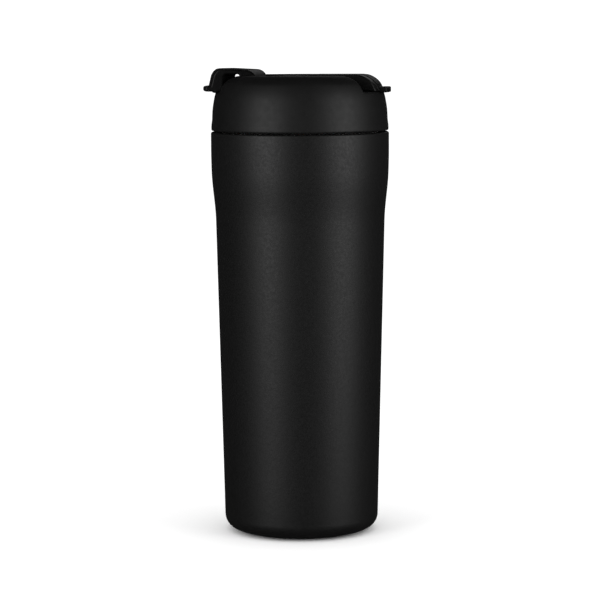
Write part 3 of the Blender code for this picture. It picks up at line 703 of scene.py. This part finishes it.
def raise_grain(material, source, height, strength=1.0):
    """Adds relief of that height in millimetres, on top of any relief that is there."""
    nodes, links = material.node_tree.nodes, material.node_tree.links
    normal = nodes["Principled BSDF"].inputs["Normal"]
    bump = nodes.new("ShaderNodeBump")
    bump.inputs["Distance"].default_value = height * MM
    bump.inputs["Strength"].default_value = strength
    if normal.is_linked:
        links.new(normal.links[0].from_socket, bump.inputs["Normal"])
    links.new(source, bump.inputs["Height"])
    links.new(bump.outputs["Normal"], normal)


def grey(value, warmth=0.0):
    return (value * (1 + warmth), value, value * (1 - warmth))


def powder_coat():
    """Matt black powder coat: a fine dry grain over the soft waves of the cured film."""
    made = new_material("powder_coat", grey(0.0025), 0.5)
    vary_colour(made, noise(made, 0.5, 3.0), grey(0.0018), grey(0.0032))
    vary_roughness(made, noise(made, 1.1, 3.0), 0.47, 0.55)
    raise_grain(made, noise(made, 2.2, 1.0), 0.030)
    raise_grain(made, noise(made, 0.42, 3.0), 0.035)
    return made


def moulded_plastic(name, value, roughness, grain=0.02, grain_size=0.45, **sockets):
    """Moulded plastic with a spark-eroded grain and faint flow marks."""
    made = new_material(name, grey(value), roughness, **sockets)
    vary_colour(made, noise(made, 6.0, 2.0), grey(value * 0.85), grey(value * 1.15))
    vary_roughness(made, noise(made, 2.5, 3.0), roughness - 0.02, roughness + 0.02)
    raise_grain(made, noise(made, 5.0, 1.0), 0.006)
    raise_grain(made, noise(made, grain_size, 2.0), grain)
    return made


def steel(name, value, roughness, stretch, metallic=1.0):
    """Stainless steel with fine lines, drawn out where stretch is small."""
    made = new_material(name, grey(value, 0.015), roughness, metallic)
    lines = noise(made, 0.35, 3.0, stretch)
    vary_colour(made, noise(made, 9.0, 3.0), grey(value * 0.93, 0.02), grey(value * 1.05, 0.01))
    vary_roughness(made, lines, roughness - 0.06, roughness + 0.08)
    raise_grain(made, lines, 0.004)
    return made


def rubber(name, value, roughness):
    made = new_material(name, grey(value), roughness)
    vary_colour(made, noise(made, 1.5, 4.0), grey(value * 0.8), grey(value * 1.25))
    vary_roughness(made, noise(made, 3.0, 2.0), roughness - 0.05, roughness + 0.07)
    raise_grain(made, noise(made, 0.3, 3.0), 0.02)
    return made


def silicone(name, value, roughness, milky):
    """Soft silicone, slightly translucent, with a faint bloom of fine dust."""
    made = new_material(name, grey(value), roughness, Subsurface_Weight=milky, Subsurface_Scale=0.0015)
    vary_colour(made, noise(made, 4.0, 3.0), grey(value * 0.9), grey(value * 1.1, 0.01))
    vary_roughness(made, noise(made, 1.2, 3.0), roughness - 0.06, roughness + 0.08)
    raise_grain(made, noise(made, 1.0, 2.0), 0.01)
    return made


def foam():
    made = new_material("cream_foam", (0.75, 0.73, 0.66), 0.9)
    vary_colour(made, noise(made, 0.8, 4.0), (0.62, 0.59, 0.52), (0.80, 0.78, 0.71))
    vary_roughness(made, noise(made, 2.0, 2.0), 0.85, 0.97)
    raise_grain(made, noise(made, 0.9, 4.0), 0.25)
    return made


def foil():
    """Copper foil, creased as it was wound on."""
    made = new_material("wound_foil", (0.72, 0.43, 0.30), 0.25, 1.0)
    vary_colour(made, noise(made, 6.0, 3.0), (0.60, 0.33, 0.21), (0.80, 0.50, 0.36))
    vary_roughness(made, noise(made, 3.0, 2.0), 0.16, 0.34)
    raise_grain(made, noise(made, 5.0, 3.0, (1.0, 1.0, 0.35)), 0.5)
    return made


def dull_metal(name, value, roughness):
    made = new_material(name, grey(value, 0.03), roughness, 0.85)
    vary_colour(made, noise(made, 0.7, 4.0), grey(value * 0.7, 0.06), grey(value * 1.15, 0.02))
    vary_roughness(made, noise(made, 0.5, 3.0), roughness - 0.1, roughness + 0.1)
    raise_grain(made, noise(made, 0.4, 3.0), 0.06)
    return made


def dress(thing, made_of, body, slot, *nodes):
    """Gives a new piece its material and its body, and hides the CAD nodes that it stands for. The slot is
    not used.
    """
    thing.data.materials.clear()
    thing.data.materials.append(made_of)
    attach(thing, body)
    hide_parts(*nodes)
    return thing


def keep(node, made_of):
    """Shows the CAD node itself, in a better material."""
    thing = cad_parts[node]
    thing.data.materials.clear()
    thing.data.materials.append(made_of)


# Pieces of the mug's body.


def make_outer_wall():
    outside = wall_outline(0.0)
    inside = wall_outline(WALL)
    mouth, hole, bevel = WALL_MOUTH_R, WALL_FOOT_HOLE_R, WALL_BEVEL
    top = [(mouth + bevel, RIM_Z)]
    top_inside = [(mouth + bevel, RIM_Z - WALL), (mouth, RIM_Z - WALL + bevel), (mouth, RIM_Z - bevel)]
    foot = [(hole + bevel, STEEL_Z), (hole, STEEL_Z + bevel), (hole, STEEL_Z + WALL)]
    return turned("coated_wall", top + outside + foot + inside[::-1] + top_inside)


def make_inner_flask():
    def is_neck(radius, z):
        return (np.abs(radius - NECK_R) < ON_WALL) & (z < RIM_Z - 0.45)

    floor = FLASK_FLOOR_Z
    corner = (FLASK_LOW_R - FLASK_CORNER, floor + FLASK_CORNER)
    bore = [(0.0, floor), (FLASK_FLAT_R, floor)] + arc(corner, FLASK_CORNER, -90, 0, 14)
    shoulder = [(*FLASK_SIDE, 0), (*FLASK_TOP, 0), (NECK_R, NECK_LOW_Z, NECK_ROUNDING)]
    bore += rounded(shoulder + [(NECK_R, NECK_SMOOTH_Z, 0)], 8)
    bore += [(NECK_R, z) for z in rows_between(NECK_ROWS_Z, RIM_Z - 0.5, THREAD_ROW)]
    lip = rounded([(NECK_R, RIM_Z - 0.4, 0), (NECK_R, RIM_Z, 0.3), (NECK_R + NECK_WALL, RIM_Z, 0.3)], 4)
    outside = [(NECK_R + NECK_WALL, NECK_LOW_Z), (FLASK_TOP[0] + FLASK_WALL, FLASK_TOP[1])]
    outside += arc(corner, FLASK_CORNER + FLASK_WALL, 0, -90, 10) + [(0.0, floor - FLASK_WALL)]
    relief = thread_relief(NECK_BEAD_Z, True, is_neck)
    return turned("steel_flask", bore + lip[1:] + outside, relief=relief)


def make_base_disc():
    low, high = BASE_Z
    rise = PORT_RISE
    corners = [(0, high + rise, 0), (PORT_R + 0.8, high + rise, 0.5), (PORT_R + 1.8, high, 0.5)]
    corners += [(BASE_R, high, 0.3), (BASE_R, low, 0.3)]
    corners += [(PORT_R + 0.8, low, 0.4), (PORT_R, low + rise, 0.4), (0, low + rise, 0)]
    return turned("foot_disc", rounded(corners, 4), 192)


def make_base_pad():
    """The rubber pad, with its ring groove and, inside that, fine moulded rings."""
    inner, outer, depth = PAD_GROOVE
    corners = [(0, PAD_T, 0), (PAD_R, PAD_T, 0.3), (PAD_R, 0.0, 0.5)]
    corners += [(outer, 0.0, 0.25), (outer, depth, 0.2), (inner, depth, 0.2), (inner, 0.0, 0.25)]
    half = PAD_RING_HALF
    for ring in range(PAD_RINGS):
        middle = PAD_RING_R - PAD_RING_STEP * ring
        corners += [(middle + half, 0.0, 0.1), (middle, PAD_RING_DEPTH, 0.1), (middle - half, 0.0, 0.1)]
    return turned("rubber_pad", rounded(corners + [(0, 0.0, 0)], 3), 192)


def make_gasket():
    low, high = GASKET_Z
    inner, outer = GASKET_R
    corners = [(outer, high, 0.3), (outer, low, 0.3), (inner, low, 0.3), (inner, high, 0.3)]
    return turned("silicone_gasket", rounded(corners, 5))


# Pieces of the lid.


def make_plug():
    def is_side(radius, z):
        return (np.abs(radius - PLUG_R) < ON_WALL) & (z > PLUG_LOW_Z + 1.1)

    low, high = FLANGE_Z
    outside = rounded([(FLANGE_R, high, 0.3), (FLANGE_R, low, 0.3), (PLUG_R, low, 0.6)], 4)
    outside += [(PLUG_R, z) for z in rows_between(low - 0.8, PLUG_LOW_Z + 1.2, THREAD_ROW)]
    ends = [(PLUG_R, PLUG_LOW_Z + 1.1, 0), (PLUG_R, PLUG_LOW_Z, 0.7)]
    ends += [(PLUG_BORE_R, PLUG_LOW_Z, 0.3), (PLUG_BORE_R, high, 0.3)]
    relief = thread_relief(PLUG_BEAD_Z, False, is_side)
    return turned("threaded_plug", outside + rounded(ends, 4)[1:], relief=relief)


def make_tube(name, radii, x):
    inner, outer = radii
    low, high = TUBE_Z
    corners = [(outer, high, 0.2), (outer, low, 0.2), (inner, low, 0.2), (inner, high, 0.2)]
    return turned(name, rounded(corners, 3), SMALL_STEPS, x=x)


def make_spout_seal():
    """The stopper: a head with a soft lip over the drink hole, and a ribbed nose in it."""
    socket_r = BOSS_R + CLEAR
    socket_z = BOSS_LOW_Z - 0.3
    corners = [(0, socket_z, 0), (socket_r, socket_z, 0.2), (socket_r, SEAL_TOP_Z, 0.3)]
    corners += [(SEAL_HEAD_R - 0.5, SEAL_TOP_Z, 0.4), (SEAL_HEAD_R, SEAL_HEAD_Z, 0.35)]
    corners += [(SEAL_NOSE_R - 0.15, SEAL_HEAD_Z, 0.25), (SEAL_NOSE_R, SEAL_NOSE_Z + 0.7, 0.3)]
    corners += [(SEAL_NOSE_R - 0.7, SEAL_NOSE_Z, 0.4), (0, SEAL_NOSE_Z, 0)]
    return turned("spout_stopper", rounded(corners, 4), SMALL_STEPS, x=DRINK_X)


def make_vent_pad():
    low, high = SEAL_HEAD_Z, SEAL_TOP_Z
    corners = [(0, high, 0), (VENT_PAD_R, high, 0.3), (VENT_PAD_R, low, 0.5), (0, low, 0)]
    return turned("vent_stopper", rounded(corners, 4), SMALL_STEPS, x=VENT_X)


def make_mug():
    coat = powder_coat()
    bright = steel("spun_steel", 0.60, 0.30, (0.06, 0.06, 1.0), metallic=0.55)
    dress(make_outer_wall(), coat, "mug", "wall_coating", "outer_wall")
    dress(make_inner_flask(), bright, "mug", "flask_steel", "inner_flask")
    dress(make_base_disc(), steel("foot_steel", 0.55, 0.4, (1, 1, 1)), "mug", "base_steel", "base_disc")
    dress(make_base_pad(), rubber("pad_black", 0.018, 0.78), "mug", "pad_rubber", "base_pad")
    keep("heat_foil", foil())
    keep("port_seal", dull_metal("braze_metal", 0.5, 0.6))
    keep("getter_capsule", dull_metal("getter_grey", 0.45, 0.7))


def make_lid():
    shell_black = moulded_plastic("lid_black", 0.0018, 0.54)
    spout_black = moulded_plastic("spout_black", 0.0022, 0.34, Specular_IOR_Level=0.35)
    inner_black = moulded_plastic("plug_black", 0.006, 0.42, grain=0.01)
    tube_black = moulded_plastic("tube_black", 0.007, 0.35, grain=0.008)
    lever_black = moulded_plastic("lever_black", 0.0022, 0.44, Specular_IOR_Level=0.2)
    loop_black = moulded_plastic("loop_black", 0.0014, 0.30, Specular_IOR_Level=0.14)
    pin_steel = steel("pin_bright", 0.62, 0.24, (1.0, 0.05, 1.0))
    black_seal = silicone("seal_black", 0.012, 0.55, 0.05)
    grey_seal = silicone("gasket_grey", 0.05, 0.5, 0.1)
    dress(make_gasket(), grey_seal, "gasket", "gasket_silicone", "lid_gasket")
    shell = moulded("domed_shell", lid_shell, "lid_shell")
    dress(shell, shell_black, "lid", "lid_plastic", "lid_shell")
    block = moulded("spout_cheeks", spout_block, "spout_block", FINE_GRID)
    dress(block, spout_black, "lid", "lid_plastic", "spout_block")
    cap = moulded("hinge_cover", hinge_cap, "hinge_cap", FINE_GRID)
    dress(cap, spout_black, "lid", "lid_plastic", "hinge_cap")
    dress(make_plug(), inner_black, "lid", "plug_plastic", "lid_plug")
    cover = moulded("plug_underside", plug_cover, "plug_cover", COVER_GRID)
    dress(cover, inner_black, "lid", "plug_plastic", "plug_cover")
    keep("lid_insulation", foam())
    tube = make_tube("spout_tube", (DRINK_R, DUCT_R), DRINK_X)
    dress(tube, tube_black, "lid", "tube_plastic", "drink_duct")
    tube = make_tube("air_tube", (VENT_R - 0.2, VENT_TUBE_R), VENT_X)
    dress(tube, tube_black, "lid", "tube_plastic", "vent_tube")
    pin = bar("lever_hinge_pin", LEVER_AXIS, (-LEVER_PIN_HALF, LEVER_PIN_HALF), PIN_R)
    dress(pin, pin_steel, "lid", "pin_steel", "lever_pin")
    for name, side in (("front", -1), ("back", 1)):
        pin = bar(f"loop_hinge_pin_{name}", LOOP_AXIS, sorted(side * y for y in LOOP_PIN_Y), PIN_R)
        dress(pin, pin_steel, "lid", "pin_steel", f"loop_pin_{name}")
    lever = moulded("lever", flip_lever, "flip_lever", FINE_GRID)
    dress(lever, lever_black, "lever", "lever_plastic", "flip_lever")
    dress(make_spout_seal(), black_seal, "lever", "seal_silicone", "spout_seal")
    dress(make_vent_pad(), black_seal, "lever", "seal_silicone", "vent_pad")
    loop = moulded("loop", carry_loop, "carry_loop", FINE_GRID)
    dress(loop, loop_black, "loop", "loop_plastic", "carry_loop")


# Studio.

CAMERA_PLACE_M = (0.152, -1.081, 0.222)
CAMERA_AIM_M = (-0.0003, 0.0, 0.102)
CAMERA_ROLL = -0.25  # degrees
CAMERA_LENS = 149.25
SENSOR = 36.0
STAGE_R_M = 9.0
AMBIENT = 1.15
TENT = 0.028
SOFTBOX_AIM_M = (0.0, 0.0, 0.1)
SOFTBOXES = {
    "left_box": dict(azimuth=-36.0, distance=0.9, height=0.25, size=(0.35, 0.62), power=2.95, lean=11.0),
    "right_box": dict(azimuth=66.0, distance=0.9, height=0.25, size=(0.48, 0.62), power=3.15),
    "back_box": dict(azimuth=172.0, distance=0.8, height=0.55, size=(0.5, 0.3), power=0.18),
}


def aim(thing, place, target, roll=0.0):
    thing.location = place
    look = (Vector(target) - Vector(place)).to_track_quat("-Z", "Y")
    turn = look.to_matrix().to_4x4() @ Matrix.Rotation(math.radians(roll), 4, "Z")
    thing.rotation_euler = turn.to_euler()


def make_camera():
    camera = bpy.data.cameras.new("studio_camera")
    camera.lens = CAMERA_LENS
    camera.sensor_width = SENSOR
    camera.clip_end = 50.0
    thing = bpy.data.objects.new("studio_camera", camera)
    bpy.context.scene.collection.objects.link(thing)
    aim(thing, CAMERA_PLACE_M, CAMERA_AIM_M, CAMERA_ROLL)
    bpy.context.scene.camera = thing


def softbox(name, azimuth, distance, height, size, power, lean=0.0):
    """A soft rectangular light, aimed at the mug, with its sizes in metres and its angles in degrees.

    Azimuth is from straight in front of the mug, towards +X. Lean turns the light about its own aim.
    """
    light = bpy.data.lights.new(name, "AREA")
    light.shape = "RECTANGLE"
    light.size, light.size_y = size
    light.energy = power
    thing = bpy.data.objects.new(name, light)
    bpy.context.scene.collection.objects.link(thing)
    angle = math.radians(azimuth)
    place = (distance * math.sin(angle), -distance * math.cos(angle), height)
    aim(thing, place, SOFTBOX_AIM_M, lean)


def make_world():
    """White all round for the camera and for soft light, but not in reflections."""
    world = bpy.data.worlds.new("studio")
    bpy.context.scene.world = world
    world.use_nodes = True
    background = world.node_tree.nodes["Background"]
    background.inputs["Color"].default_value = (1.0, 1.0, 1.0, 1.0)
    background.inputs["Strength"].default_value = AMBIENT
    world.cycles_visibility.glossy = False


def staged(name, made_of, create, **shape):
    """A studio piece, made by one of bmesh's shapes."""
    mesh = bpy.data.meshes.new(name)
    work = bmesh.new()
    create(work, radius=STAGE_R_M, **shape)
    work.to_mesh(mesh)
    work.free()
    mesh.materials.append(made_of)
    thing = bpy.data.objects.new(name, mesh)
    bpy.context.scene.collection.objects.link(thing)
    return thing


def make_floor():
    """A wide pale disc that casts no shadow, and isn't seen in reflections, which would grey the coat."""
    paper = new_material("floor_paper", (0.95, 0.95, 0.95), 0.9, Specular_IOR_Level=0.0)
    raise_grain(paper, noise(paper, 3.0), 0.02)
    floor = staged("floor", paper, bmesh.ops.create_circle, cap_ends=True, segments=96)
    floor.visible_glossy = False
    floor.visible_shadow = False


def make_tent():
    """A dim tent round the whole set, seen only in reflections."""
    glow = bpy.data.materials.new("tent_glow")
    glow.use_nodes = True
    shader = glow.node_tree.nodes["Principled BSDF"]
    shader.inputs["Base Color"].default_value = (0.0, 0.0, 0.0, 1.0)
    shader.inputs["Emission Color"].default_value = (1.0, 1.0, 1.0, 1.0)
    shader.inputs["Emission Strength"].default_value = TENT
    glow.cycles.emission_sampling = "NONE"
    tent = staged("tent", glow, bmesh.ops.create_icosphere, subdivisions=4)
    tent.visible_camera = False
    tent.visible_diffuse = False
    tent.visible_shadow = False
    tent.visible_transmission = False


def make_studio():
    make_camera()
    make_world()
    make_floor()
    make_tent()
    for name, light in SOFTBOXES.items():
        softbox(name, **light)
    bpy.context.scene.view_settings.view_transform = "Standard"


make_studio()
make_mug()
make_lid()
